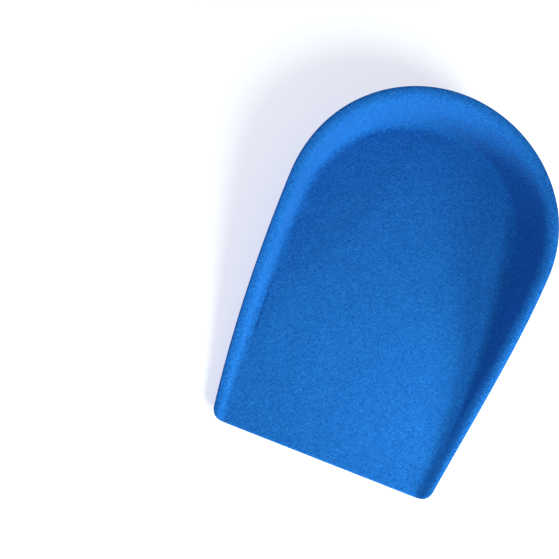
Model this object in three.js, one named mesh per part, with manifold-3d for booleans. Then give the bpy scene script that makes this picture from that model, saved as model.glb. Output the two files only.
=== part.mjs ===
// A gel heel cup, cup up, resting on its flat underside.
// Millimetres, +Z up. The back of the heel points to +Y and the open front edge to -Y.
// The origin is under the middle of the cup, on the surface that it rests on.

import * as THREE from 'three';
import { mergeVertices, toCreasedNormals } from 'three/addons/utils/BufferGeometryUtils.js';
import Module from 'manifold-3d';

// Plan of the cup
const length = 108;
const heelWidth = 77.4;
const frontWidth = 66;
const frontCornerRadius = 3;

// Heights: the rim climbs from the front edge to the heel, and so does the floor inside
const frontHeight = 4.7;
const heelHeight = 24;
const rimRiseLength = 90;
const seatRiseLength = 54;

// Layers of the floor
const coverThickness = 1;
const bondGap = 0.3;
const frontGelThickness = 2.1;
const webOverPocket = 2;

// Section of the wall
const rimLand = 0.6;
const gelRimRadius = 1.7;
const coverEdgeRadius = 0.35;
const wallLeanDegrees = 10;
const seatFilletRadius = 2.5;
const heelBaseInset = 9;
const frontBaseInset = 2.2;
const wallCurvePower = 1.9;
const baseEdgeRadius = 0.6;

// Front edge, bevelled underneath
const frontBevelLength = 2;
const frontBevelHeight = 1;

// Soft disc under the heel, and the moulded pattern round it
const plugDiameter = 35;
const plugThickness = 3.4;
const plugEdgeRadius = 0.3;
const plugClearance = 0.3;
const plugForwardOfHeelCentre = 4;
const stepWidth = 0.9;
const stepDepth = 0.5;
const dimpleRingMargin = 2.6;
const dimplePitch = 5.5;
const dimpleDiameter = 2.4;
const dimpleDepth = 0.4;

// Marks that the mould leaves
const gateMarkWidth = 3;
const gateMarkRelief = 0.5;
const gateMarkBelowRim = 6;
const frontPipDiameter = 0.9;

// Fineness of the mesh
const cornerSteps = 4;
const sideSteps = 14;
const heelSteps = 14;
const floorSteps = 3;
const filletSteps = 5;
const wallSteps = 2;
const rollSteps = 3;
const outerWallSteps = 6;
const edgeSteps = 2;
const discSegments = 64;
const markSegments = 12;
const creaseDegrees = 35;
const weldDistance = 1e-4;
const leastDoubledArea = 1e-9;
const cutterOverrun = 1;

// Sizes that follow from these
const frontY = -length / 2;
const heelRadius = heelWidth / 2;
const heelCentreY = length / 2 - heelRadius;
const coverDepth = bondGap + coverThickness;
const pocketDepth = plugThickness + plugClearance;
const frontFloor = frontGelThickness + coverDepth;
const heelFloor = pocketDepth + webOverPocket + coverDepth;
const rollRadius = gelRimRadius + coverDepth;
const steepestSlope = THREE.MathUtils.degToRad(90 - wallLeanDegrees);
const plugCentre = new THREE.Vector3(0, heelCentreY - plugForwardOfHeelCentre, 0);
const pocketRadius = plugDiameter / 2 + plugClearance;
const stepRadius = pocketRadius + stepWidth;
const dimpleRingRadius = stepRadius + dimpleRingMargin + dimpleDiameter / 2;

// Share of the way that a smooth climb has gone at a place along the cup
function climb(y, riseLength) {
  return THREE.MathUtils.smoothstep(y, frontY, frontY + riseLength);
}

// The station's rim height, floor height, base inset and height of the underside at a place y
function levelsAt(y) {
  const rise = climb(y, rimRiseLength);
  const seat = climb(Math.min(y, heelCentreY), seatRiseLength);
  const bevelLeft = Math.max(0, 1 - (y - frontY) / frontBevelLength);
  return {
    rim: THREE.MathUtils.lerp(frontHeight, heelHeight, rise),
    floor: THREE.MathUtils.lerp(frontFloor, heelFloor, seat),
    baseInset: THREE.MathUtils.lerp(frontBaseInset, heelBaseInset, rise),
    underside: frontBevelHeight * bevelLeft,
  };
}

// Half the width of the cup's sides, which narrow in a gentle curve from the heel to the front
function halfWidthAt(y) {
  const share = (heelCentreY - y) / (heelCentreY - frontY);
  return heelRadius - (heelRadius - frontWidth / 2) * share * share;
}

// A station across one side: it starts at the side's edge and runs in to the middle line.
// Near the front the rounded corner trims away its outer end.
function sideStation(y, trim) {
  const halfWidth = halfWidthAt(y);
  return {
    edge: new THREE.Vector2(halfWidth, y),
    inward: new THREE.Vector2(-1, 0),
    reach: halfWidth,
    trim,
    ...levelsAt(y),
  };
}

// A station across the round heel: it runs in to the heel's centre
function heelStation(angle) {
  const outward = new THREE.Vector2(Math.cos(angle), Math.sin(angle));
  const edge = outward.clone().multiplyScalar(heelRadius);
  edge.y += heelCentreY;
  return { edge, inward: outward.negate(), reach: heelRadius, trim: 0, ...levelsAt(edge.y) };
}

// The other side's station, as in a mirror
function mirrored(station) {
  return {
    ...station,
    edge: new THREE.Vector2(-station.edge.x, station.edge.y),
    inward: new THREE.Vector2(-station.inward.x, station.inward.y),
  };
}

// All stations, from the right front corner round the heel to the left front corner
function cupStations() {
  const right = [];
  for (let i = 0; i <= cornerSteps; i += 1) {
    const turn = (Math.PI / 2) * (i / cornerSteps);
    const y = frontY + frontCornerRadius * (1 - Math.cos(turn));
    right.push(sideStation(y, frontCornerRadius * (1 - Math.sin(turn))));
  }
  for (let i = 1; i <= sideSteps; i += 1) {
    const y = THREE.MathUtils.lerp(frontY + frontCornerRadius, heelCentreY, i / sideSteps);
    right.push(sideStation(y, 0));
  }
  for (let i = 1; i <= heelSteps; i += 1) {
    right.push(heelStation((Math.PI / 2) * (i / heelSteps)));
  }
  const left = right.slice(0, -1).reverse().map(mirrored);
  return [...right, ...left];
}

// The finished inside of the cup in one section, from the rim's outer edge in to the middle.
// u is the way in from the outer edge, and slope is how far the surface has turned down.
function insideLine(station) {
  const drop = station.rim - station.floor;
  const radii = rollRadius + seatFilletRadius;
  const curvedDrop = radii * (1 - Math.cos(steepestSlope));
  const isLow = drop < curvedDrop;
  const slope = isLow ? Math.acos(1 - drop / radii) : steepestSlope;
  const straight = isLow ? 0 : (drop - curvedDrop) / Math.sin(slope);
  const rollEnd = {
    u: rimLand + rollRadius * Math.sin(slope),
    z: station.rim - rollRadius * (1 - Math.cos(slope)),
  };
  const filletEnd = rollEnd.u + straight * Math.cos(slope) + seatFilletRadius * Math.sin(slope);

  const line = [{ u: 0, z: station.rim, slope: 0 }];
  for (let i = 0; i <= rollSteps; i += 1) {
    const turned = slope * (i / rollSteps);
    line.push({
      u: rimLand + rollRadius * Math.sin(turned),
      z: station.rim - rollRadius * (1 - Math.cos(turned)),
      slope: turned,
    });
  }
  for (let i = 1; i < wallSteps; i += 1) {
    const run = straight * (i / wallSteps);
    line.push({ u: rollEnd.u + run * Math.cos(slope), z: rollEnd.z - run * Math.sin(slope), slope });
  }
  for (let i = 0; i <= filletSteps; i += 1) {
    const turned = slope * (1 - i / filletSteps);
    line.push({
      u: filletEnd - seatFilletRadius * Math.sin(turned),
      z: station.floor + seatFilletRadius * (1 - Math.cos(turned)),
      slope: turned,
    });
  }
  for (let i = 1; i <= floorSteps; i += 1) {
    const u = THREE.MathUtils.lerp(filletEnd, station.reach, i / floorSteps);
    line.push({ u, z: station.floor, slope: 0 });
  }
  return line;
}

// The same line, a given depth below the finished surface
function layerLine(station, depth) {
  return insideLine(station).map(({ u, z, slope }) => {
    return new THREE.Vector2(u - depth * Math.sin(slope), z - depth * Math.cos(slope));
  });
}

// The line from a given u inwards; the points that lie further out move to the cut
function trimmedLine(line, trim) {
  const kept = line.findIndex((point) => point.x > trim);
  const outer = line[kept - 1];
  const inner = line[kept];
  const cut = outer.clone().lerp(inner, (trim - outer.x) / (inner.x - outer.x));
  return line.map((point, k) => (k < kept ? cut.clone() : point));
}

// Section of the gel, as two lines from the middle out: its top, and its underside and outer wall
function gelSection(station) {
  const upper = trimmedLine(layerLine(station, coverDepth), station.trim).reverse();
  const rimZ = upper[upper.length - 1].y;
  const wallInset = station.trim + station.baseInset;
  const wallHeight = rimZ - station.underside;
  const wallEnd = 1 - baseEdgeRadius / wallHeight;
  const outerWall = [];
  for (let i = outerWallSteps; i >= 1; i -= 1) {
    const share = wallEnd * (i / outerWallSteps);
    const u = station.trim + station.baseInset * share ** wallCurvePower;
    outerWall.push(new THREE.Vector2(u, rimZ - wallHeight * share));
  }
  const middle = new THREE.Vector2(station.reach, station.underside);
  const flatEnd = new THREE.Vector2(wallInset + baseEdgeRadius, station.underside);
  const corner = new THREE.Vector2(wallInset, station.underside);
  const edge = new THREE.QuadraticBezierCurve(flatEnd, corner, outerWall[0]).getPoints(edgeSteps);
  return { upper, lower: [middle, ...edge.slice(0, -1), ...outerWall] };
}

// Section of the cloth cover, as two lines from the middle out: its top and cut edge, and its back
function coverSection(station) {
  const upper = trimmedLine(layerLine(station, 0), station.trim + coverEdgeRadius).reverse();
  const lower = trimmedLine(layerLine(station, coverThickness), station.trim).reverse();
  const { y: edgeTop } = upper.pop();
  for (let i = 0; i <= edgeSteps; i += 1) {
    const turned = (Math.PI / 2) * (i / edgeSteps);
    const u = station.trim + coverEdgeRadius * (1 - Math.sin(turned));
    upper.push(new THREE.Vector2(u, edgeTop - coverEdgeRadius * (1 - Math.cos(turned))));
  }
  return { upper, lower };
}

// A section's line as points in space, at its station
function placed(line, station) {
  return line.map(({ x: u, y: z }) => {
    const x = station.edge.x + station.inward.x * u;
    return new THREE.Vector3(x, station.edge.y + station.inward.y * u, z);
  });
}

// The flat front face of one half of the cup, between the upper and the lower line
function frontFace(upper, lower) {
  const triangles = [];
  let i = 0;
  let j = 0;
  while (i + 1 < upper.length || j + 1 < lower.length) {
    const upperOut = i + 1 < upper.length ? Math.abs(upper[i + 1].x) : Infinity;
    const lowerOut = j + 1 < lower.length ? Math.abs(lower[j + 1].x) : Infinity;
    if (upperOut <= lowerOut) {
      triangles.push([lower[j], upper[i + 1], upper[i]]);
      i += 1;
    } else {
      triangles.push([lower[j], lower[j + 1], upper[i]]);
      j += 1;
    }
  }
  return triangles;
}

// Joins the sections of all stations into a closed body with a flat front face
function loftBody(stations, sectionOf) {
  const halves = stations.map((station) => {
    const { upper, lower } = sectionOf(station);
    return { upper: placed(upper, station), lower: placed(lower, station) };
  });
  const rings = halves.map(({ upper, lower }) => [...upper, ...lower.slice().reverse()]);
  const triangles = [];
  for (let i = 0; i + 1 < rings.length; i += 1) {
    for (let k = 0; k + 1 < rings[i].length; k += 1) {
      triangles.push([rings[i][k], rings[i][k + 1], rings[i + 1][k]]);
      triangles.push([rings[i][k + 1], rings[i + 1][k + 1], rings[i + 1][k]]);
    }
  }
  const rightFront = halves[0];
  const leftFront = halves[halves.length - 1];
  triangles.push(...frontFace(rightFront.upper, rightFront.lower));
  frontFace(leftFront.upper, leftFront.lower).forEach(([a, b, c]) => {
    triangles.push([c, b, a]);
  });
  const isReal = ([a, b, c]) => {
    return b.clone().sub(a).cross(c.clone().sub(a)).length() > leastDoubledArea;
  };
  return new THREE.BufferGeometry().setFromPoints(triangles.filter(isReal).flat());
}

// A flat disc with softly rounded edges, standing on its base circle
function discGeometry(radius, thickness, edgeRadius) {
  const profile = new THREE.Path();
  profile.moveTo(0, 0);
  profile.lineTo(radius - edgeRadius, 0);
  profile.absarc(radius - edgeRadius, edgeRadius, edgeRadius, -Math.PI / 2, 0);
  profile.absarc(radius - edgeRadius, thickness - edgeRadius, edgeRadius, 0, Math.PI / 2);
  profile.lineTo(0, thickness);
  return new THREE.LatheGeometry(profile.getPoints(edgeSteps), discSegments).rotateX(Math.PI / 2);
}

// A round cutter that sinks a flat-bottomed recess into the underside
function recessCutter(radius, depth) {
  const cutter = new THREE.CylinderGeometry(radius, radius, depth + cutterOverrun, discSegments);
  cutter.rotateX(Math.PI / 2);
  return cutter.translate(plugCentre.x, plugCentre.y, (depth - cutterOverrun) / 2);
}

// A lens-shaped solid, round in plan, for dimples and moulding marks
function lensGeometry(diameter, relief) {
  const ball = new THREE.SphereGeometry(1, markSegments, markSegments / 2);
  ball.rotateX(Math.PI / 2);
  return ball.scale(diameter / 2, diameter / 2, relief);
}

// The ring of shallow dimples round the soft disc
function dimpleCutters() {
  const count = Math.round((2 * Math.PI * dimpleRingRadius) / dimplePitch);
  const cutters = [];
  for (let i = 0; i < count; i += 1) {
    const angle = (2 * Math.PI * i) / count;
    const x = plugCentre.x + dimpleRingRadius * Math.cos(angle);
    const y = plugCentre.y + dimpleRingRadius * Math.sin(angle);
    cutters.push(lensGeometry(dimpleDiameter, dimpleDepth).translate(x, y, 0));
  }
  return cutters;
}

// The mark at the back of the heel where the gel was poured in, lying on the sloping outer wall
function gateMark() {
  const { rim, baseInset } = levelsAt(length / 2);
  const gelRim = rim - coverDepth;
  const share = gateMarkBelowRim / gelRim;
  const inset = baseInset * share ** wallCurvePower;
  const insetPerDrop = (baseInset * wallCurvePower * share ** (wallCurvePower - 1)) / gelRim;
  const mark = lensGeometry(gateMarkWidth, gateMarkRelief);
  mark.rotateX(-Math.PI / 2 - Math.atan(insetPerDrop));
  return mark.translate(0, length / 2 - inset, gelRim - gateMarkBelowRim);
}

// The small pip in the middle of the bevel under the front edge
function frontPip() {
  const pip = lensGeometry(frontPipDiameter, frontPipDiameter / 2);
  return pip.translate(0, frontY + frontBevelLength / 2, frontBevelHeight / 2);
}

// Solids for joining and cutting
const manifold = await Module();
manifold.setup();

function toSolid(geometry) {
  const bare = geometry.clone();
  bare.deleteAttribute('normal');
  bare.deleteAttribute('uv');
  const merged = mergeVertices(bare, weldDistance);
  return new manifold.Manifold(new manifold.Mesh({
    numProp: 3,
    vertProperties: new Float32Array(merged.attributes.position.array),
    triVerts: new Uint32Array(merged.index.array),
  }));
}

function toGeometry(solid) {
  const mesh = solid.getMesh();
  const geometry = new THREE.BufferGeometry();
  geometry.setAttribute('position', new THREE.BufferAttribute(mesh.vertProperties, 3));
  geometry.setIndex(new THREE.BufferAttribute(mesh.triVerts, 1));
  return geometry;
}

// One named piece with its own material and soft shading across gentle edges
function piece(name, geometry, material) {
  const creaseAngle = THREE.MathUtils.degToRad(creaseDegrees);
  const mesh = new THREE.Mesh(toCreasedNormals(geometry, creaseAngle), material);
  mesh.name = name;
  return mesh;
}

// The moulded gel cup, with the pocket for the disc and the marks on its underside
function gelBody(stations) {
  let solid = toSolid(loftBody(stations, gelSection));
  const cuts = [
    recessCutter(pocketRadius, pocketDepth),
    recessCutter(stepRadius, stepDepth),
    ...dimpleCutters(),
  ];
  cuts.forEach((cut) => {
    solid = solid.subtract(toSolid(cut));
  });
  [gateMark(), frontPip()].forEach((mark) => {
    solid = solid.add(toSolid(mark));
  });
  const material = new THREE.MeshStandardMaterial({ color: 0x0b58b8, roughness: 0.3, metalness: 0 });
  return piece('gel_body', toGeometry(solid), material);
}

// The soft disc in the pocket, flush with the underside
function softPlug() {
  const material = new THREE.MeshStandardMaterial({ color: 0xfe6630, roughness: 0.6, metalness: 0 });
  const plug = piece('soft_plug', discGeometry(plugDiameter / 2, plugThickness, plugEdgeRadius), material);
  plug.position.copy(plugCentre);
  return plug;
}

// The brushed knit cover, over the floor, up the inside of the wall and over the rim
function topCover(stations) {
  const material = new THREE.MeshStandardMaterial({ color: 0x1e6ec3, roughness: 0.95, metalness: 0 });
  return piece('top_cover', loftBody(stations, coverSection), material);
}

const stations = cupStations();
const heelCup = new THREE.Group();
heelCup.add(gelBody(stations), softPlug(), topCover(stations));

export default heelCup;
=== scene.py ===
# %% [markdown]
# # A gel heel cup, cup up on a pale floor
# The cup is three pieces: a body of clear blue gel, a soft orange disc let into its underside, and a
# brushed knit cover that is bonded over the whole top. The construction, with its sizes, comes in as a
# fixed frame. This lesson makes the surfaces that are seen: it models each piece again with finer form
# in the same place, and gives each a material made of nodes.

# %% Load the frame
import math

import bmesh
import bpy
from mathutils import Matrix, Vector
from mathutils.kdtree import KDTree


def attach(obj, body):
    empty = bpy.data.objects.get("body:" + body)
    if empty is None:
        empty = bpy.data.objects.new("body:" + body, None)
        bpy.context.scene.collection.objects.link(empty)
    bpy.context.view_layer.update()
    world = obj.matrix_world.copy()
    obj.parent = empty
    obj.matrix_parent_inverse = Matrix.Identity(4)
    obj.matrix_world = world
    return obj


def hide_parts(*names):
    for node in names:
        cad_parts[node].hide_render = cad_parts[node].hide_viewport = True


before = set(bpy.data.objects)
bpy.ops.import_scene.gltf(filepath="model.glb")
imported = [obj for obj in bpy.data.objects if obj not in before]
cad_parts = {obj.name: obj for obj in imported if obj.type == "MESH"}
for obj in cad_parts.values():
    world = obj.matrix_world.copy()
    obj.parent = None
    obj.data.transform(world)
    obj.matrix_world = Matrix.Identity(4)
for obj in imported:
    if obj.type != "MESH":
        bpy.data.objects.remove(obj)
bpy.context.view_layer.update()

MM = 0.001

# %% [markdown]
# ## Sizes
# Every size is in metres, named once, and follows the construction. The back of the heel points to +Y
# and the open front edge to -Y. The rim and the floor inside both climb from the front to the heel, so
# their heights are worked out from how far along the cup a place is.

# %% Sizes of the cup
LENGTH = 108 * MM
HEEL_WIDTH = 77.4 * MM
FRONT_WIDTH = 66 * MM
CORNER_RADIUS = 3 * MM
FRONT_HEIGHT = 4.7 * MM
HEEL_HEIGHT = 24 * MM
RIM_RISE = 90 * MM
SEAT_RISE = 54 * MM
FRONT_FLOOR = 3.4 * MM
HEEL_FLOOR = 7 * MM
COVER_THICKNESS = 1 * MM
GEL_DEPTH = 1.12 * MM
RIM_LAND = 0.6 * MM
ROLL_RADIUS = 3 * MM
FILLET_RADIUS = 2.5 * MM
STEEPEST = math.radians(80)
HEEL_BASE_INSET = 9 * MM
FRONT_BASE_INSET = 2.2 * MM
WALL_CURVE = 1.9
BASE_EDGE = 0.6 * MM
BEVEL_LENGTH = 2 * MM
BEVEL_HEIGHT = 1 * MM

FRONT_Y = -LENGTH / 2
HEEL_RADIUS = HEEL_WIDTH / 2
HEEL_Y = LENGTH / 2 - HEEL_RADIUS

# %% [markdown]
# The disc sits in a round pocket under the heel. The pocket is a little wider and deeper than the disc, so
# the two never touch, and a shallow step and a ring of dimples lie round it.

# %% Sizes of the disc and the marks round it
PLUG_RADIUS = 17.5 * MM
PLUG_THICKNESS = 3.4 * MM
PLUG_Y = HEEL_Y - 4 * MM
POCKET_RADIUS = 17.8 * MM
POCKET_DEPTH = 3.7 * MM
STEP_RADIUS = 18.7 * MM
STEP_DEPTH = 0.5 * MM
DIMPLE_RING = 22.5 * MM
DIMPLE_COUNT = 26
DIMPLE_RADIUS = 1.2 * MM
DIMPLE_DEPTH = 0.4 * MM
DIMPLE_SINK = 0.05 * MM
PLUG_EDGE = 0.3 * MM
PLUG_SUNK = 0.12 * MM
PLUG_RINGS = 6
PLUG_RING_WIDTH = 2.4 * MM
ROUND_SEGMENTS = 128


# %% [markdown]
# ## Stations round the cup
# A cup like this is easiest to think of as one cross-section that changes a little as it is carried
# round a U: along one side, round the heel and back along the other side. Each stop on that way is a
# station. It knows where the rim's outer edge is, which way is inward, and how high the rim and the floor
# are there.

# %% Heights and widths along the cup
def climb(y, rise):
    """Share of a smooth climb that is done at a place along the cup."""
    share = min(max((y - FRONT_Y) / rise, 0), 1)
    return share * share * (3 - 2 * share)


def blend(a, b, share):
    return a + (b - a) * share


def floor_height(y):
    return blend(FRONT_FLOOR, HEEL_FLOOR, climb(min(y, HEEL_Y), SEAT_RISE))


def underside_height(y):
    return BEVEL_HEIGHT * max(0, 1 - (y - FRONT_Y) / BEVEL_LENGTH)


def half_width(y):
    share = (HEEL_Y - y) / (HEEL_Y - FRONT_Y)
    return HEEL_RADIUS - (HEEL_RADIUS - FRONT_WIDTH / 2) * share * share


# %% [markdown]
# The stations are a little over a millimetre apart, and closer at the two front corners, where the way
# bends most. The left side repeats the right one in a mirror.

# %% The stations
CORNER_STEPS = 6
SIDE_STEPS = 58
HEEL_STEPS = 96
ACROSS_STEPS = 44


def station(edge, inward, trim=0):
    """One stop; near the front, trim is how much of its outer end the rounded corner takes away."""
    y = edge.y
    rise = climb(y, RIM_RISE)
    return {
        "edge": edge,
        "inward": inward,
        "trim": trim,
        "rim": blend(FRONT_HEIGHT, HEEL_HEIGHT, rise),
        "floor": floor_height(y),
        "inset": blend(FRONT_BASE_INSET, HEEL_BASE_INSET, rise),
        "underside": underside_height(y),
    }


def cup_stations():
    """All stations, from the right front corner round the heel to the left front corner."""
    right = []
    for i in range(CORNER_STEPS):
        turn = math.pi / 2 * i / CORNER_STEPS
        y = FRONT_Y + CORNER_RADIUS * (1 - math.cos(turn))
        trim = CORNER_RADIUS * (1 - math.sin(turn))
        right.append(station(Vector((half_width(y), y)), Vector((-1, 0)), trim))
    for i in range(SIDE_STEPS):
        y = blend(FRONT_Y + CORNER_RADIUS, HEEL_Y, i / SIDE_STEPS)
        right.append(station(Vector((half_width(y), y)), Vector((-1, 0))))
    heel = []
    for i in range(HEEL_STEPS + 1):
        outward = Vector((math.cos(math.pi * i / HEEL_STEPS), math.sin(math.pi * i / HEEL_STEPS)))
        heel.append(station(Vector((0, HEEL_Y)) + outward * HEEL_RADIUS, -outward))
    left = []
    for stop in reversed(right):
        mirrored = dict(stop)
        mirrored["edge"] = Vector((-stop["edge"].x, stop["edge"].y))
        mirrored["inward"] = Vector((1, 0))
        left.append(mirrored)
    return right + heel + left


stations = cup_stations()
print("stations:", len(stations))


# %% [markdown]
# ## The cross-section
# The line of the finished inside starts at the rim's outer edge, runs over a narrow land, rolls over into
# the wall, comes down at 10 degrees from upright and turns through a fillet into the floor. Where the
# wall is low, near the front, the roll and the fillet meet before they reach their full slope. The gel and
# the back of the cloth follow the same line, a little deeper.

# %% The inside line
FINENESS = {"land": 1.2, "roll": 1.3, "wall": 1, "fillet": 1.8}
HALVINGS = 30


def inside_point(stop, share, depth):
    """A point (u, z) at a share of the way from the rim's outer edge to the floor; u is the way in."""
    drop = stop["rim"] - stop["floor"]
    radii = ROLL_RADIUS + FILLET_RADIUS
    curved_drop = radii * (1 - math.cos(STEEPEST))
    low = drop < curved_drop
    slope = math.acos(1 - drop / radii) if low else STEEPEST
    straight = 0 if low else (drop - curved_drop) / math.sin(slope)
    roll_u = RIM_LAND + ROLL_RADIUS * math.sin(slope)
    roll_z = stop["rim"] - ROLL_RADIUS * (1 - math.cos(slope))
    end_u = roll_u + straight * math.cos(slope) + FILLET_RADIUS * math.sin(slope)
    lengths = {
        "land": RIM_LAND,
        "roll": ROLL_RADIUS * slope,
        "wall": straight,
        "fillet": FILLET_RADIUS * slope,
    }
    stretches = {part: lengths[part] * FINENESS[part] for part in lengths}
    ahead = sum(stretches.values()) * share
    for part in stretches:
        if ahead <= stretches[part] or part == "fillet":
            break
        ahead -= stretches[part]
    run = ahead / FINENESS[part]
    if part == "land":
        u, z, lean = run, stop["rim"], 0
    elif part == "roll":
        lean = run / ROLL_RADIUS
        u, z = RIM_LAND + ROLL_RADIUS * math.sin(lean), stop["rim"] - ROLL_RADIUS * (1 - math.cos(lean))
    elif part == "wall":
        lean = slope
        u, z = roll_u + run * math.cos(slope), roll_z - run * math.sin(slope)
    else:
        lean = max(slope - run / FILLET_RADIUS, 0)
        u, z = end_u - FILLET_RADIUS * math.sin(lean), stop["floor"] + FILLET_RADIUS * (1 - math.cos(lean))
    return u - depth * math.sin(lean), z - depth * math.cos(lean)


def inside_line(stop, depth, start_u, steps):
    """Points (u, z) from start_u to the floor, at a depth below the finished inside."""
    before, after = 0, 1
    for _ in range(HALVINGS):
        middle = (before + after) / 2
        if inside_point(stop, middle, depth)[0] < start_u:
            before = middle
        else:
            after = middle
    shares = [blend(before, 1, i / steps) for i in range(steps + 1)]
    return [inside_point(stop, share, depth) for share in shares]


def in_space(stop, u, z):
    place = stop["edge"] + stop["inward"] * u
    return Vector((place.x, place.y, z))


section = inside_line(stations[len(stations) // 2], 0, 0, 6)
print("wall at the back of the heel, from rim to floor in mm:")
print([(round(u / MM, 1), round(z / MM, 1)) for u, z in section])


# %% [markdown]
# ## Small helpers for modelling
# An operator works on all that is selected, so each piece starts with nothing selected. Faces and edges
# are chosen by where they are, with a test on their middle.

# %% Selection and modifiers
def select_only(obj):
    bpy.ops.object.select_all(action="DESELECT")
    obj.select_set(True)
    bpy.context.view_layer.objects.active = obj


def edit(obj):
    select_only(obj)
    bpy.ops.object.mode_set(mode="EDIT")
    bpy.ops.mesh.select_all(action="DESELECT")


def leave_edit():
    bpy.ops.object.mode_set(mode="OBJECT")


def apply_modifier(obj, kind, **settings):
    """Adds a modifier with these settings and makes it part of the mesh."""
    select_only(obj)
    modifier = obj.modifiers.new(kind.lower(), kind)
    for name, value in settings.items():
        setattr(modifier, name, value)
    bpy.ops.object.modifier_apply(modifier=modifier.name)


def report(obj):
    mesh = obj.data
    bm = bmesh.new()
    bm.from_mesh(mesh)
    open_edges = sum(1 for e in bm.edges if not e.is_manifold)
    triangles = sum(len(f.verts) - 2 for f in bm.faces)
    volume = bm.calc_volume()
    bm.free()
    print(f"{obj.name}: {triangles} triangles, {open_edges} open edges, {volume * 1e6:.2f} cm3")


# %% [markdown]
# ## A flat grid pressed to the cup's floor
# The floor of the cup is a D in plan. A grid is the right start, because its even quads carry soft relief
# well and its outer row can be pulled up into the wall. The grid's right, heel and left sides are laid on
# the stations one by one, and the rows between them are spread evenly, bowing towards the heel.

# %% Lay a grid in the D
SIDE_ROWS = (len(stations) - 1 - ACROSS_STEPS) // 2
ON_THE_FRONT = 0.001 * MM
MERGE_DISTANCE = 0.005 * MM


def d_shaped_grid(name, border_point, height):
    """A grid whose three long sides lie on border_point(stop) of the stations, at height(y)."""
    bpy.ops.object.select_all(action="DESELECT")
    bpy.ops.mesh.primitive_grid_add(x_subdivisions=ACROSS_STEPS, y_subdivisions=SIDE_ROWS, size=1)
    sheet = bpy.context.object
    sheet.name = name
    border = [border_point(stop) for stop in stations]
    right = border[: SIDE_ROWS + 1]
    left = border[::-1][: SIDE_ROWS + 1]
    top = border[SIDE_ROWS:-SIDE_ROWS][::-1]
    bm = bmesh.new()
    bm.from_mesh(sheet.data)
    number = bm.verts.layers.int.new("station")
    for vert in bm.verts:
        i = round((vert.co.x + 0.5) * ACROSS_STEPS)
        j = round((vert.co.y + 0.5) * SIDE_ROWS)
        across, along = i / ACROSS_STEPS, j / SIDE_ROWS
        place = left[j].lerp(right[j], across)
        place += (top[i] - left[-1].lerp(right[-1], across)) * along**2
        vert.co = (place.x, place.y, height(place.y))
        vert[number] = -1
        if i == ACROSS_STEPS:
            vert[number] = j
        elif j == SIDE_ROWS:
            vert[number] = SIDE_ROWS + ACROSS_STEPS - i
        elif i == 0:
            vert[number] = len(stations) - 1 - j
    bm.to_mesh(sheet.data)
    bm.free()
    return sheet


def is_front(vert):
    return abs(vert.co.y - FRONT_Y) < ON_THE_FRONT


def pull_rows(sheet, rows):
    """Extrudes the U-shaped border once for each row and lays the new points on row[station]."""
    edit(sheet)
    bm = bmesh.from_edit_mesh(sheet.data)
    for edge in bm.edges:
        edge.select_set(edge.is_boundary and not all(is_front(v) for v in edge.verts))
    bmesh.update_edit_mesh(sheet.data)
    for row in rows:
        bpy.ops.mesh.extrude_edges_move()
        bm = bmesh.from_edit_mesh(sheet.data)
        number = bm.verts.layers.int["station"]
        for vert in bm.verts:
            if vert.select:
                vert.co = row[vert[number]]
        bmesh.update_edit_mesh(sheet.data)
    leave_edit()


# %% [markdown]
# A body is two such grids, one above the other, with the rows between them. Its front is left open at
# first, and then filled with one flat face that is split into triangles. The whole section is drawn in a
# little just behind the front, so that the front's edges come out round.

# %% Bodies with an open front
def drawn_in(y, radius):
    """How far a section shrinks close behind the front face, so that its edges come out round."""
    short = min(max(radius - (y - FRONT_Y), 0), radius)
    return radius - math.sqrt(radius**2 - short**2)


def join_and_merge(lower, upper):
    select_only(lower)
    upper.select_set(True)
    bpy.ops.object.join()
    edit(lower)
    bpy.ops.mesh.select_all(action="SELECT")
    bpy.ops.mesh.remove_doubles(threshold=MERGE_DISTANCE)
    leave_edit()


def close_front(obj):
    """Fills the open front with flat triangles and turns every face outward."""
    edit(obj)
    bm = bmesh.from_edit_mesh(obj.data)
    for edge in bm.edges:
        edge.select_set(edge.is_boundary)
    bmesh.update_edit_mesh(obj.data)
    bpy.ops.mesh.edge_face_add()
    bpy.ops.mesh.quads_convert_to_tris(ngon_method="BEAUTY")
    bpy.ops.mesh.select_all(action="SELECT")
    bpy.ops.mesh.normals_make_consistent(inside=False)
    leave_edit()


def front_faces(obj):
    points = obj.data.vertices
    return [f for f in obj.data.polygons if all(is_front(points[i]) for i in f.vertices)]


def smooth(obj, angle):
    """Smooth shading up to an angle; the straight cut front stays flat."""
    select_only(obj)
    bpy.ops.object.shade_smooth_by_angle(angle=math.radians(angle))
    for face in front_faces(obj):
        face.use_smooth = False


def floor_border(stop):
    u, _ = inside_point(stop, 1, 0)
    return in_space(stop, u, 0).xy


# %% [markdown]
# ## The gel body
# A real cup could be poured in one go into a closed mould. Here it starts as its flat base plate. The
# border is pulled up as the bulging outer wall, over the rim and down the inside, and a second grid closes
# the floor. The front is closed before anything is cut, because the cuts need a body without holes.

# %% The gel's rows
OUTER_STEPS = 10
EDGE_STEPS = 3
GEL_STEPS = 22
GEL_RIM_ROUND = 0.3 * MM
GEL_FRONT_ROUND = 0.4 * MM
LOWEST_SHARE = 0.4
HIGHEST_SHARE = 0.3
CORNER_CUT = 0.3


def base_border(stop):
    shrink = drawn_in(stop["edge"].y, GEL_FRONT_ROUND)
    return in_space(stop, stop["trim"] + stop["inset"] + BASE_EDGE + shrink, 0).xy


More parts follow.
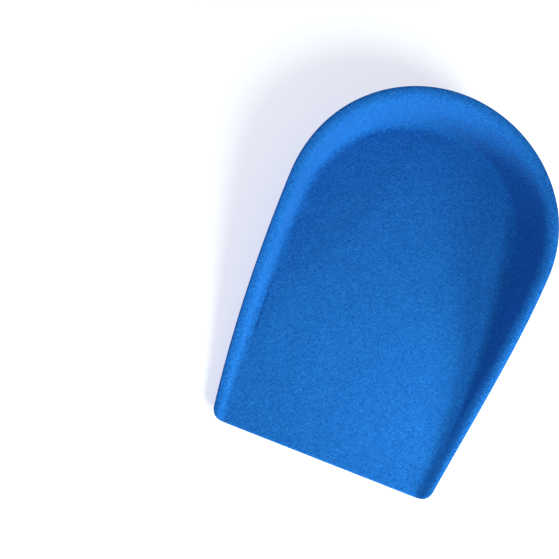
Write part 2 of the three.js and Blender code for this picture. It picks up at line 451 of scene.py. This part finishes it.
def gel_line(stop):
    """Points (u, z) of the gel: up from the base plate, up the outer wall, over the rim and down inside.

    Close to the front the wall is very low, so its rounded edges take only a share of its height there.
    """
    shrink = drawn_in(stop["edge"].y, GEL_FRONT_ROUND)
    outside = stop["trim"] + shrink
    inside = inside_line(stop, GEL_DEPTH + shrink, outside + GEL_RIM_ROUND, GEL_STEPS)
    top = inside[0][1]
    bottom = stop["underside"] + shrink
    height = top - bottom
    lowest = min(BASE_EDGE, LOWEST_SHARE * height)
    highest = min(GEL_RIM_ROUND, HIGHEST_SHARE * height)
    wall = []
    for i in range(OUTER_STEPS + 1):
        share = blend(1 - lowest / height, highest / height, i / OUTER_STEPS)
        wall.append((outside + stop["inset"] * share**WALL_CURVE, top - height * share))
    corner = Vector((outside + stop["inset"], bottom))
    flat_end, wall_end = corner + Vector((BASE_EDGE, 0)), Vector(wall[0])
    edge = []
    for i in range(1, EDGE_STEPS):
        share = i / EDGE_STEPS
        edge.append(tuple(flat_end.lerp(corner, share).lerp(corner.lerp(wall_end, share), share)))
    rim_round = (outside + CORNER_CUT * GEL_RIM_ROUND, top - CORNER_CUT * highest)
    return edge + wall + [rim_round] + inside


def rows_of(lines):
    """Turns the stations' lines into rows that run round the cup."""
    numbers = range(len(lines[0]))
    return [[in_space(stop, *line[k]) for stop, line in zip(stations, lines)] for k in numbers]


gel = d_shaped_grid(
    "gel_cup", base_border, lambda y: underside_height(y) + drawn_in(y, GEL_FRONT_ROUND)
)
pull_rows(gel, rows_of([gel_line(stop) for stop in stations]))
gel_floor = d_shaped_grid(
    "gel_floor", floor_border, lambda y: floor_height(y) - GEL_DEPTH - drawn_in(y, GEL_FRONT_ROUND)
)
join_and_merge(gel, gel_floor)
close_front(gel)
report(gel)


# %% [markdown]
# ## The pocket, the step and the ring of dimples
# These are sunk into the base plate, so they are cut with booleans, as a mould's inserts could leave them.
# One dimple is a flattened ball. It is made again at each place of the ring, a little below the underside
# so that no edge of it lies in that plane. All of them are joined first, so that a single cut is enough.

# %% Cutters under the heel
BELOW_FLOOR = 2 * MM
POCKET_EDGE = 0.3 * MM
STEP_EDGE = 0.15 * MM


def join_all(objects):
    select_only(objects[0])
    for obj in objects[1:]:
        obj.select_set(True)
    bpy.ops.object.join()
    return bpy.context.object


def round_cutter(radius, depth, edge):
    """A disc that reaches from just below the floor up to the depth, with its upper edge rounded."""
    bpy.ops.object.select_all(action="DESELECT")
    bpy.ops.mesh.primitive_cylinder_add(
        vertices=ROUND_SEGMENTS,
        radius=radius,
        depth=depth + BELOW_FLOOR,
        location=(0, PLUG_Y, (depth - BELOW_FLOOR) / 2),
    )
    cutter = bpy.context.object
    edit(cutter)
    bm = bmesh.from_edit_mesh(cutter.data)
    for e in bm.edges:
        e.select_set(all(v.co.z > 0 for v in e.verts))
    bmesh.update_edit_mesh(cutter.data)
    bpy.ops.mesh.bevel(offset=edge, segments=3)
    leave_edit()
    return cutter


def placed_ball(diameter, relief, location, turn=(0, 0, 0)):
    """A ball that is flattened until it stands out by relief on each side."""
    bpy.ops.object.select_all(action="DESELECT")
    bpy.ops.mesh.primitive_uv_sphere_add(
        segments=24, ring_count=12, radius=1, location=location, rotation=turn
    )
    ball = bpy.context.object
    ball.scale = (diameter / 2, diameter / 2, relief)
    return ball


def settle(obj):
    """Puts an object's place, turn and scale into its mesh."""
    select_only(obj)
    bpy.ops.object.transform_apply(location=True, rotation=True, scale=True)


def combine(obj, other, operation):
    """Takes the other solid out of the object, or adds it, and removes the other."""
    settle(other)
    apply_modifier(obj, "BOOLEAN", object=other, operation=operation, solver="EXACT")
    bpy.data.objects.remove(other)


combine(gel, round_cutter(POCKET_RADIUS, POCKET_DEPTH, POCKET_EDGE), "DIFFERENCE")
combine(gel, round_cutter(STEP_RADIUS, STEP_DEPTH, STEP_EDGE), "DIFFERENCE")
dimples = []
for i in range(DIMPLE_COUNT):
    angle = 2 * math.pi * i / DIMPLE_COUNT
    place = (DIMPLE_RING * math.cos(angle), PLUG_Y + DIMPLE_RING * math.sin(angle), -DIMPLE_SINK)
    dimples.append(placed_ball(2 * DIMPLE_RADIUS, DIMPLE_DEPTH + DIMPLE_SINK, place))
combine(gel, join_all(dimples), "DIFFERENCE")
report(gel)

# %% [markdown]
# ## The marks of the mould
# A low round button stands on the outer wall at the back of the heel, where the gel could have been poured
# in, and a tiny pip on the bevel under the front edge. Both are flattened balls that are joined to the body.

# %% Gate mark and pip
GATE_BELOW_RIM = 6 * MM
GATE_DIAMETER = 3 * MM
GATE_RELIEF = 0.5 * MM
PIP_DIAMETER = 0.9 * MM
PIP_RELIEF = 0.45 * MM
GEL_SMOOTH = 32
wall_height = HEEL_HEIGHT - GEL_DEPTH
share = GATE_BELOW_RIM / wall_height
gate_inset = HEEL_BASE_INSET * share**WALL_CURVE
gate_lean = math.atan(HEEL_BASE_INSET * WALL_CURVE * share ** (WALL_CURVE - 1) / wall_height)
gate = placed_ball(
    GATE_DIAMETER,
    GATE_RELIEF,
    (0, LENGTH / 2 - gate_inset, wall_height - GATE_BELOW_RIM),
    (-math.pi / 2 - gate_lean, 0, 0),
)
combine(gel, gate, "UNION")
pip = placed_ball(PIP_DIAMETER, PIP_RELIEF, (0, FRONT_Y + BEVEL_LENGTH / 2, BEVEL_HEIGHT / 2))
combine(gel, pip, "UNION")
smooth(gel, GEL_SMOOTH)
report(gel)

# %% [markdown]
# ## The soft disc
# The disc is a softer gel that could have been poured into the pocket. It lies flush with the underside,
# with a slightly sunken middle, as if it had shrunk there. It is a filled circle that is pulled up to its
# thickness, with rounded edges. Rings are set into its flat sides, and those below carry the sunken middle.

# %% The disc
LEVEL = 0.0001 * MM
bpy.ops.object.select_all(action="DESELECT")
bpy.ops.mesh.primitive_circle_add(
    vertices=ROUND_SEGMENTS, radius=PLUG_RADIUS, fill_type="NGON", location=(0, PLUG_Y, 0)
)
plug = bpy.context.object
plug.name = "soft_disc"
settle(plug)
edit(plug)
bpy.ops.mesh.select_all(action="SELECT")
bpy.ops.mesh.extrude_region_move(TRANSFORM_OT_translate={"value": (0, 0, PLUG_THICKNESS)})
bpy.ops.mesh.select_all(action="DESELECT")
bm = bmesh.from_edit_mesh(plug.data)
for e in bm.edges:
    e.select_set(abs(e.verts[0].co.z - e.verts[1].co.z) < LEVEL)
bmesh.update_edit_mesh(plug.data)
bpy.ops.mesh.bevel(offset=PLUG_EDGE, segments=4)
for _ in range(PLUG_RINGS):
    bpy.ops.mesh.select_all(action="DESELECT")
    bm = bmesh.from_edit_mesh(plug.data)
    for f in bm.faces:
        f.select_set(len(f.verts) > 4)
    bmesh.update_edit_mesh(plug.data)
    bpy.ops.mesh.inset(thickness=PLUG_RING_WIDTH)
bm = bmesh.from_edit_mesh(plug.data)
for v in bm.verts:
    if v.co.z < PLUG_THICKNESS / 2:
        away = (v.co.xy - Vector((0, PLUG_Y))).length / PLUG_RADIUS
        v.co.z += PLUG_SUNK * max(0, 1 - away**2)
bmesh.update_edit_mesh(plug.data)
bpy.ops.mesh.select_all(action="SELECT")
bpy.ops.mesh.normals_make_consistent(inside=False)
leave_edit()
smooth(plug, GEL_SMOOTH)
report(plug)

# %% [markdown]
# ## The cloth cover
# The cover shows no seam, so it is taken as one flat piece of brushed knit that is stretched over the whole
# top: it lies on the floor, runs up the inside of the wall and ends at the rim's outer edge. Its rows go up
# its back, round the cut edge and down its face. Every point also remembers about where it lay in the flat
# cloth, found by laying each section out straight beside the floor, and the knit follows these places.

# %% Sections of the cloth
FACE_STEPS = 24
BACK_STEPS = 12
CUT_ROUND = 0.3 * MM
BACK_ROUND = 0.15 * MM


def cloth_line(stop):
    """Points (u, z) up the back of the cloth, round its cut edge and down its face to the floor."""
    shrink = drawn_in(stop["edge"].y, CUT_ROUND)
    outside = stop["trim"] + shrink
    back = inside_line(stop, COVER_THICKNESS - shrink, outside + BACK_ROUND, BACK_STEPS)
    face = inside_line(stop, shrink, outside + CUT_ROUND, FACE_STEPS)
    top, under = face[0][1], back[0][1]
    edge = [
        (outside, under + BACK_ROUND),
        (outside, top - CUT_ROUND),
        (outside + CORNER_CUT * CUT_ROUND, top - CORNER_CUT * CUT_ROUND),
    ]
    return back[::-1] + edge + face


cloth_lines = [cloth_line(stop) for stop in stations]
to_floor = []
for line in cloth_lines:
    ways = [0]
    for before, after in zip(line[::-1], line[-2::-1]):
        ways.append(ways[-1] + math.dist(before, after))
    to_floor.append(ways[::-1])
round_rim = [0]
for before, after in zip(stations, stations[1:]):
    round_rim.append(round_rim[-1] + (after["edge"] - before["edge"]).length)


def flat_place(number, row):
    """Where a point of the cloth lay before it was pressed into the cup."""
    stop = stations[number]
    return floor_border(stop) - stop["inward"] * to_floor[number][row]


RIM_ROW = BACK_STEPS + 2
print(f"cloth up the wall at the back of the heel: {to_floor[len(stations) // 2][RIM_ROW] / MM:.1f} mm")


# %% [markdown]
# The cloth is two grids and the rows between them, like the gel. Before the two are joined, their flat
# places are written into UV maps, because joining and merging would lose the order of the points.

# %% Lay the cloth in the cup
CLOTH_UNIT = 150 * MM
MAP_MIDDLE = Vector((0.5, 0.5))


def remember_places(sheet):
    """Two UV maps: the flat place in the cloth, and the way along the rim and up the wall."""
    grid_count = (ACROSS_STEPS + 1) * (SIDE_ROWS + 1)
    bm = bmesh.new()
    bm.from_mesh(sheet.data)
    station_of = bm.verts.layers.int["station"]
    flat_uv = bm.loops.layers.uv.new("flat_cloth")
    wall_uv = bm.loops.layers.uv.new("wall_way")
    for face in bm.faces:
        past_grid = [v.index - grid_count for v in face.verts]
        rows = [0 if past < 0 else 1 + past // len(stations) for past in past_grid]
        for loop, row in zip(face.loops, rows):
            number = loop.vert[station_of]
            place = flat_place(number, row) if max(rows) else loop.vert.co.xy
            loop[flat_uv].uv = place / CLOTH_UNIT + MAP_MIDDLE
            if max(rows):
                loop[wall_uv].uv = Vector((round_rim[number], to_floor[number][row])) / CLOTH_UNIT
    bm.to_mesh(sheet.data)
    bm.free()


cover = d_shaped_grid(
    "knit_cover", floor_border, lambda y: floor_height(y) - COVER_THICKNESS + drawn_in(y, CUT_ROUND)
)
pull_rows(cover, rows_of(cloth_lines)[1:])
remember_places(cover)
cover_floor = d_shaped_grid(
    "cover_floor", floor_border, lambda y: floor_height(y) - drawn_in(y, CUT_ROUND)
)
remember_places(cover_floor)
join_and_merge(cover, cover_floor)
report(cover)

# %% [markdown]
# A subdivision gives the cloth enough points for the soft unevenness of a bonded cover, and a
# displacement makes it. The unevenness fades towards the edges, which look firmly pressed down. The cut
# front is closed last and stays flat, and its faces get flat places of their own.

# %% Unevenness of the cloth
CALM_EDGE = 3 * MM
UNEVEN_SIZE = 6 * MM
UNEVEN_HEIGHT = 0.2 * MM
CLOTH_SMOOTH = 50
apply_modifier(cover, "SUBSURF", levels=1, render_levels=1, boundary_smooth="PRESERVE_CORNERS")
calm = cover.vertex_groups.new(name="away_from_edge")
rim_line = KDTree(len(stations))
for i, stop in enumerate(stations):
    rim_line.insert((*stop["edge"], 0), i)
rim_line.balance()
for vert in cover.data.vertices:
    from_front = vert.co.y - FRONT_Y
    from_rim = rim_line.find((*vert.co.xy, 0))[2]
    calm.add([vert.index], min(from_front, from_rim, CALM_EDGE) / CALM_EDGE, "REPLACE")
clouds = bpy.data.textures.new("cloth_unevenness", "CLOUDS")
clouds.noise_scale = UNEVEN_SIZE
clouds.noise_depth = 2
apply_modifier(
    cover,
    "DISPLACE",
    texture=clouds,
    texture_coords="LOCAL",
    vertex_group="away_from_edge",
    strength=UNEVEN_HEIGHT,
    mid_level=0.5,
)
close_front(cover)
smooth(cover, CLOTH_SMOOTH)
flat_uv = cover.data.uv_layers["flat_cloth"].data
for face in front_faces(cover):
    for corner, number in zip(face.loop_indices, face.vertices):
        point = cover.data.vertices[number].co
        flat_uv[corner].uv = Vector((point.x, point.z)) / CLOTH_UNIT + MAP_MIDDLE
report(cover)

# %% [markdown]
# ## Helpers for materials
# Nodes are added with their values in one line, and linked by the names of their sockets. An effect that
# more than one material needs is a node group with named inputs, and it gives back only colours, masks
# and heights. The shaders stay in the materials.

# %% Node helpers
NODE_SPACING = 200


def add(tree, kind, place, values=None, **settings):
    node = tree.nodes.new(kind)
    node.location = (place[0] * NODE_SPACING, place[1] * NODE_SPACING)
    for name, value in settings.items():
        setattr(node, name, value)
    for socket, value in (values or {}).items():
        node.inputs[socket].default_value = value
    return node


def link(tree, source, output, target, socket):
    tree.links.new(source.outputs[output], target.inputs[socket])


def calculate(tree, place, operation, a, b=None):
    """A math node; a and b are numbers or (node, output)."""
    node = add(tree, "ShaderNodeMath", place, operation=operation)
    for i, value in enumerate((a, b)):
        if isinstance(value, tuple):
            link(tree, value[0], value[1], node, i)
        elif value is not None:
            node.inputs[i].default_value = value
    return node


def new_group(name, inputs, outputs):
    """A node group; inputs maps a name to a number, or to None for a vector."""
    tree = bpy.data.node_groups.new(name, "ShaderNodeTree")
    for socket, value in inputs.items():
        kind = "NodeSocketVector" if value is None else "NodeSocketFloat"
        made = tree.interface.new_socket(name=socket, in_out="INPUT", socket_type=kind)
        if value is not None:
            made.default_value = value
    for socket in outputs:
        tree.interface.new_socket(name=socket, in_out="OUTPUT", socket_type="NodeSocketFloat")
    return tree, add(tree, "NodeGroupInput", (0, 0)), add(tree, "NodeGroupOutput", (8, 0))


def use_group(tree, group, place, values=None):
    node = add(tree, "ShaderNodeGroup", place)
    node.node_tree = group
    for socket, value in (values or {}).items():
        node.inputs[socket].default_value = value
    return node


def new_material(name):
    material = bpy.data.materials.new(name)
    material.use_nodes = True
    return material, material.node_tree, material.node_tree.nodes["Principled BSDF"]


def two_tones(tree, place, mask, output, dark, light):
    """A colour between two tones, chosen by a mask."""
    mix = add(tree, "ShaderNodeMix", place, data_type="RGBA")
    mix.inputs["A"].default_value = (*dark, 1)
    mix.inputs["B"].default_value = (*light, 1)
    link(tree, mask, output, mix, "Factor")
    return mix


def dress(obj, material, node_name):
    """Gives a piece its material, hangs it under the root body and hides the part of the frame it stands
    for.
    """
    obj.data.materials.clear()
    obj.data.materials.append(material)
    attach(obj, "root")
    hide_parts(node_name)


# %% [markdown]
# ## Shared effects
# The grain is a swirled noise. At a small size it gives the felted fibres of the brushed cloth and the fine
# tooth of both gels. At a large size it gives the slow changes of tone in all three materials.

# %% Grain
grain_inputs = {"Vector": None, "Size": 1, "Swirl": 1, "Contrast": 1}
grain, group_in, group_out = new_group("grain", grain_inputs, ["Mask"])
per_size = calculate(grain, (1, -1), "DIVIDE", 1, (group_in, "Size"))
noise = add(grain, "ShaderNodeTexNoise", (3, 0), {"Detail": 2, "Roughness": 0.6})
link(grain, group_in, "Vector", noise, "Vector")
link(grain, per_size, 0, noise, "Scale")
link(grain, group_in, "Swirl", noise, "Distortion")
centred = calculate(grain, (4, 0), "SUBTRACT", (noise, "Fac"), 0.5)
spread = calculate(grain, (5, 0), "MULTIPLY", (centred, 0), (group_in, "Contrast"))
mask = calculate(grain, (6, 0), "ADD", (spread, 0), 0.5)
mask.use_clamp = True
link(grain, mask, 0, group_out, "Mask")

# %% [markdown]
# A knit is made of rows of small V-shaped loops. The group turns flat places on the cloth into that
# pattern: the place along a row gives the V, and the place across the rows gives the waves.

# %% Loops of the knit
LOOP_SLANT = 1.4
loops, group_in, group_out = new_group("knit_loops", {"Vector": None, "Wale": 1, "Course": 1}, ["Height"])
parts = add(loops, "ShaderNodeSeparateXYZ", (1, 0))
link(loops, group_in, "Vector", parts, "Vector")
in_wales = calculate(loops, (2, 1), "DIVIDE", (parts, "X"), (group_in, "Wale"))
in_courses = calculate(loops, (2, -1), "DIVIDE", (parts, "Y"), (group_in, "Course"))
one_wale = calculate(loops, (3, 1), "PINGPONG", (in_wales, 0), 0.5)
slant = calculate(loops, (4, 1), "MULTIPLY", (one_wale, 0), LOOP_SLANT)
risen = calculate(loops, (4, -1), "ADD", (in_courses, 0), (slant, 0))
turned = calculate(loops, (5, -1), "MULTIPLY", (risen, 0), 2 * math.pi)
wave = calculate(loops, (6, -1), "SINE", (turned, 0))
height = calculate(loops, (7, -1), "MULTIPLY_ADD", (wave, 0), 0.5)
height.inputs[2].default_value = 0.5
link(loops, height, 0, group_out, "Height")

# %% [markdown]
# ## The brushed knit
# The cloth is a mid blue with felted fibres on top of fine loops. Up the walls it is stretched, and the
# rows open into thin ribs that run from the floor to the rim, bent by a noise. The ribs grow over the first
# few millimetres of the wall. The colour follows the height of the fibres, loops and ribs: the hollows get
# a painted shade and the raised fibres a painted highlight, beside the cloth's own grain. The sizes of its
# patterns are in millimetres, because its maps are scaled to them.

# %% Cloth
IN_MM = CLOTH_UNIT / MM
RIB_PITCH = 0.68
RIB_BEND = 5
RIB_HEIGHT = 0.1
RIBS_START = 1
RIBS_FULL = 5
LOOP_SHARE = 0.3
FIBRE_SHARE = 0.7
SLOW_SHARE = 0.12
# Tones of the hollows and of the raised fibres: the dark one is partly painted shade, the light one partly
# painted highlight.
CLOTH_DEEP_SHADED = (0.0012, 0.07, 0.335)
CLOTH_RAISED_LIT = (0.016, 0.18, 0.59)
cloth_material, tree, shader = new_material("brushed_knit")
flat_map = add(tree, "ShaderNodeUVMap", (-9, 2), uv_map="flat_cloth")
flat_mm = add(tree, "ShaderNodeVectorMath", (-8, 2), {"Scale": IN_MM}, operation="SCALE")
link(tree, flat_map, "UV", flat_mm, 0)
wall_map = add(tree, "ShaderNodeUVMap", (-9, -2), uv_map="wall_way")
wall_mm = add(tree, "ShaderNodeVectorMath", (-8, -2), {"Scale": IN_MM}, operation="SCALE")
link(tree, wall_map, "UV", wall_mm, 0)

fibres = use_group(tree, grain, (-7, 3), {"Size": 0.64, "Swirl": 1.4, "Contrast": 3.4})
link(tree, flat_mm, "Vector", fibres, "Vector")
slow = use_group(tree, grain, (-7, 1), {"Size": 14, "Swirl": 0.5, "Contrast": 1.6})
link(tree, flat_mm, "Vector", slow, "Vector")
loop_rows = use_group(tree, loops, (-7, 2), {"Wale": 0.95, "Course": 0.8})
link(tree, flat_mm, "Vector", loop_rows, "Vector")

wall_parts = add(tree, "ShaderNodeSeparateXYZ", (-7, -2))
link(tree, wall_mm, "Vector", wall_parts, "Vector")
stretched = add(tree, "ShaderNodeMapRange", (-6, -3), {"From Min": RIBS_START, "From Max": RIBS_FULL})
link(tree, wall_parts, "Y", stretched, "Value")
rib_turn = calculate(tree, (-6, -2), "MULTIPLY", (wall_parts, "X"), 2 * math.pi / RIB_PITCH)
wobble = use_group(tree, grain, (-7, -4), {"Size": 2.2, "Swirl": 0.6, "Contrast": 2})
link(tree, wall_mm, "Vector", wobble, "Vector")
bent = calculate(tree, (-5, -2), "MULTIPLY_ADD", (wobble, "Mask"), RIB_BEND)
link(tree, rib_turn, 0, bent, 2)
rib_wave = calculate(tree, (-4, -2), "SINE", (bent, 0))
rib_amount = calculate(tree, (-4, -3), "MULTIPLY", (stretched, "Result"), RIB_HEIGHT)
ribs = calculate(tree, (-3, -2), "MULTIPLY", (rib_wave, 0), (rib_amount, 0))

loop_share = calculate(tree, (-5, 2), "MULTIPLY", (loop_rows, "Height"), LOOP_SHARE)
fibre_share = calculate(tree, (-5, 3), "MULTIPLY", (fibres, "Mask"), FIBRE_SHARE)
felt = calculate(tree, (-4, 2), "ADD", (loop_share, 0), (fibre_share, 0))
relief = calculate(tree, (-2, 1), "ADD", (felt, 0), (ribs, 0))
slow_share = calculate(tree, (-5, 1), "MULTIPLY_ADD", (slow, "Mask"), SLOW_SHARE)
slow_share.inputs[2].default_value = -SLOW_SHARE / 2
tone = calculate(tree, (-1, 2), "ADD", (relief, 0), (slow_share, 0))
tone.use_clamp = True
# The relief mixes the two tones, so the hollows carry painted shade and the raised fibres a painted
# highlight, beside the grain and the slow tone.
cloth_colour = two_tones(tree, (0, 2), tone, 0, CLOTH_DEEP_SHADED, CLOTH_RAISED_LIT)
link(tree, cloth_colour, "Result", shader, "Base Color")
cloth_bump = add(tree, "ShaderNodeBump", (-1, -1), {"Strength": 1, "Distance": 0.2 * MM})
link(tree, relief, 0, cloth_bump, "Height")
link(tree, cloth_bump, "Normal", shader, "Normal")
shader.inputs["Roughness"].default_value = 0.92
shader.inputs["Specular IOR Level"].default_value = 0.08
shader.inputs["Sheen Weight"].default_value = 0.08
shader.inputs["Sheen Roughness"].default_value = 0.5
shader.inputs["Sheen Tint"].default_value = (0.25, 0.55, 1, 1)
dress(cover, cloth_material, "top_cover")

# %% [markdown]
# ## The blue gel
# The body is a smooth, slightly milky gel. Light goes a little way in and comes out bluer, which a
# subsurface share does well. The colour is darker and more violet in a ring round the disc, as a painted
# shade round the pocket, and lighter along the front edge, as a painted highlight where the gel is thin.
# These zones are found from the place on the cup.

# %% Gel
# Where the painted shade round the pocket fades out, and where it is full.
RING_SHADE_OUTSIDE = 23.5 * MM
RING_SHADE_FULL = 20.5 * MM
# How far back the painted highlight along the front edge reaches.
FRONT_HIGHLIGHT_LENGTH = 7 * MM
GEL_DEEP = (0.0008, 0.06, 0.36)
GEL_LIGHT = (0.001, 0.085, 0.47)
# Painted shade: the darker, more violet ring round the pocket.
GEL_RING_SHADE = (0.006, 0.04, 0.38)
# Painted highlight: the lighter blue along the thin front edge.
GEL_FRONT_HIGHLIGHT = (0.003, 0.12, 0.52)
gel_material, tree, shader = new_material("blue_gel")
place = add(tree, "ShaderNodeTexCoord", (-9, 0))
clouding = use_group(tree, grain, (-7, 2), {"Size": 9 * MM, "Swirl": 1.5, "Contrast": 1.8})
link(tree, place, "Object", clouding, "Vector")
body_colour = two_tones(tree, (-5, 2), clouding, "Mask", GEL_DEEP, GEL_LIGHT)

from_disc = add(tree, "ShaderNodeVectorMath", (-8, 0), operation="DISTANCE")
link(tree, place, "Object", from_disc, 0)
from_disc.inputs[1].default_value = (0, PLUG_Y, 0)
# Mask of the painted shade round the pocket, from the distance to the disc's middle.
ring_shade_range = {"From Min": RING_SHADE_OUTSIDE, "From Max": RING_SHADE_FULL}
ring = add(tree, "ShaderNodeMapRange", (-6, 0), ring_shade_range, interpolation_type="SMOOTHSTEP")
link(tree, from_disc, "Value", ring, "Value")
ring_shade_colour = add(tree, "ShaderNodeMix", (-3, 1), data_type="RGBA")
ring_shade_colour.inputs["B"].default_value = (*GEL_RING_SHADE, 1)
link(tree, body_colour, "Result", ring_shade_colour, "A")
link(tree, ring, "Result", ring_shade_colour, "Factor")

parts = add(tree, "ShaderNodeSeparateXYZ", (-7, -2))
link(tree, place, "Object", parts, "Vector")
# Mask of the painted highlight along the front edge.
front_highlight_range = {"From Min": FRONT_Y + FRONT_HIGHLIGHT_LENGTH, "From Max": FRONT_Y}
front = add(tree, "ShaderNodeMapRange", (-6, -2), front_highlight_range, interpolation_type="SMOOTHSTEP")
link(tree, parts, "Y", front, "Value")
gel_colour = add(tree, "ShaderNodeMix", (-1, 1), data_type="RGBA")
gel_colour.inputs["B"].default_value = (*GEL_FRONT_HIGHLIGHT, 1)
link(tree, ring_shade_colour, "Result", gel_colour, "A")
link(tree, front, "Result", gel_colour, "Factor")
link(tree, gel_colour, "Result", shader, "Base Color")

skin = use_group(tree, grain, (-4, -2), {"Size": 1.6 * MM, "Swirl": 0.4, "Contrast": 1.5})
link(tree, place, "Object", skin, "Vector")
gloss = add(tree, "ShaderNodeMapRange", (-2, -1), {"To Min": 0.16, "To Max": 0.3})
link(tree, skin, "Mask", gloss, "Value")
link(tree, gloss, "Result", shader, "Roughness")
gel_bump = add(tree, "ShaderNodeBump", (-2, -3), {"Strength": 0.25, "Distance": 0.05 * MM})
link(tree, skin, "Mask", gel_bump, "Height")
link(tree, gel_bump, "Normal", shader, "Normal")
shader.inputs["IOR"].default_value = 1.42
shader.inputs["Specular IOR Level"].default_value = 0.35
shader.inputs["Subsurface Weight"].default_value = 0.5
shader.inputs["Subsurface Radius"].default_value = (0.15, 0.5, 1)
shader.inputs["Subsurface Scale"].default_value = 3 * MM
dress(gel, gel_material, "gel_body")

# %% [markdown]
# ## The soft orange gel
# The disc is a softer, duller gel with a fine tooth. It is a plain warm orange that turns redder where the
# light has to go deeper.

# %% Disc
DISC_DEEP = (0.93, 0.115, 0.024)
DISC_LIGHT = (1, 0.15, 0.034)
plug_material, tree, shader = new_material("soft_orange_gel")
place = add(tree, "ShaderNodeTexCoord", (-7, 0))
clouding = use_group(tree, grain, (-5, 1), {"Size": 6 * MM, "Swirl": 1, "Contrast": 1.6})
link(tree, place, "Object", clouding, "Vector")
plug_colour = two_tones(tree, (-3, 1), clouding, "Mask", DISC_DEEP, DISC_LIGHT)
link(tree, plug_colour, "Result", shader, "Base Color")
tooth = use_group(tree, grain, (-5, -1), {"Size": 0.5 * MM, "Swirl": 0.3, "Contrast": 1.8})
link(tree, place, "Object", tooth, "Vector")
dullness = add(tree, "ShaderNodeMapRange", (-3, -1), {"To Min": 0.42, "To Max": 0.6})
link(tree, tooth, "Mask", dullness, "Value")
link(tree, dullness, "Result", shader, "Roughness")
plug_bump = add(tree, "ShaderNodeBump", (-3, -2), {"Strength": 0.3, "Distance": 0.04 * MM})
link(tree, tooth, "Mask", plug_bump, "Height")
link(tree, plug_bump, "Normal", shader, "Normal")
shader.inputs["Subsurface Weight"].default_value = 0.3
shader.inputs["Subsurface Radius"].default_value = (1, 0.35, 0.15)
shader.inputs["Subsurface Scale"].default_value = 2 * MM
dress(plug, plug_material, "soft_plug")

# %% [markdown]
# ## The cloth's flat size
# The outline of the cover as it lay flat is worked out from the flat places of the rim's outer edge.

outline = [flat_place(number, RIM_ROW) for number in range(len(stations))]

# %% [markdown]
# ## The floor
# The cup lies on a plain pale floor. It gives off a little light of its own, so that it stays near white
# beside the cup and throws some light back at it.

# %% Floor
bpy.ops.object.select_all(action="DESELECT")
FLOOR_SIZE = 6
bpy.ops.mesh.primitive_plane_add(size=FLOOR_SIZE, location=(0, 0, 0))
floor = bpy.context.object
floor.name = "floor"
floor_material, tree, shader = new_material("pale_floor")
shader.inputs["Base Color"].default_value = (0.88, 0.88, 0.88, 1)
shader.inputs["Roughness"].default_value = 0.9
shader.inputs["Emission Color"].default_value = (1, 1, 1, 1)
shader.inputs["Emission Strength"].default_value = 0.45
floor.data.materials.append(floor_material)

# %% [markdown]
# ## The camera
# The photograph looks almost straight down. The camera hangs over the left front of the cup and is rolled,
# so that the heel points to the upper right of the picture.

# %% Camera
CAMERA_PLACE = Vector((-48.15, -49.73, 273.66)) * MM
CAMERA_AIM = Vector((-29.2, -10.12, 0)) * MM
CAMERA_ROLL = math.radians(21.5)
SENSOR_WIDTH = 36
FOCAL_LENGTH = 61.5
camera = bpy.data.objects.new("camera", bpy.data.cameras.new("camera"))
bpy.context.collection.objects.link(camera)
back = (CAMERA_PLACE - CAMERA_AIM).normalized()
right = Vector((-math.sin(CAMERA_ROLL), math.cos(CAMERA_ROLL), 0)).cross(back).normalized()
up = back.cross(right)
camera.matrix_world = Matrix.Translation(CAMERA_PLACE) @ Matrix((right, up, back)).transposed().to_4x4()
camera.data.sensor_width = SENSOR_WIDTH
camera.data.lens = FOCAL_LENGTH
bpy.context.scene.camera = camera


# %% [markdown]
# ## The lights
# Three soft round lights make the picture. A strong low one in front on the right makes the left and back
# walls bright and leaves the right wall dark. A weaker high one lights the cup's floor up to the foot of
# the right wall, and one from the left opens the shade. A pale, slightly blue world fills in the rest.

# %% Lights
LIGHT_SIZE = 80 * MM
KEY_TINT = (0.92, 1, 0.92)
FILL_TINT = (0.84, 0.88, 1)
WORLD_STRENGTH = 0.34


def area_light(name, turn, rise, distance, power, colour):
    """A round light that is aimed at the cup; turn is its direction from +X, rise its height angle."""
    data = bpy.data.lights.new(name, "AREA")
    data.shape = "DISK"
    data.size = LIGHT_SIZE
    data.energy = power
    data.color = colour
    light = bpy.data.objects.new(name, data)
    bpy.context.collection.objects.link(light)
    turn, rise = math.radians(turn), math.radians(rise)
    toward = Vector((math.cos(rise) * math.cos(turn), math.cos(rise) * math.sin(turn), math.sin(rise)))
    light.location = toward * distance
    light.rotation_euler = (-toward).to_track_quat("-Z", "Y").to_euler()
    light.visible_camera = False


area_light("low_key", -43, 12, 0.25, 1.16, KEY_TINT)
area_light("high_key", -24, 56, 0.2, 0.25, KEY_TINT)
area_light("left_fill", 180, 30, 0.4, 0.4, FILL_TINT)
world = bpy.data.worlds.new("studio")
world.use_nodes = True
world.node_tree.nodes["Background"].inputs["Color"].default_value = (*FILL_TINT, 1)
world.node_tree.nodes["Background"].inputs["Strength"].default_value = WORLD_STRENGTH
bpy.context.scene.world = world
bpy.context.scene.view_settings.view_transform = "Standard"
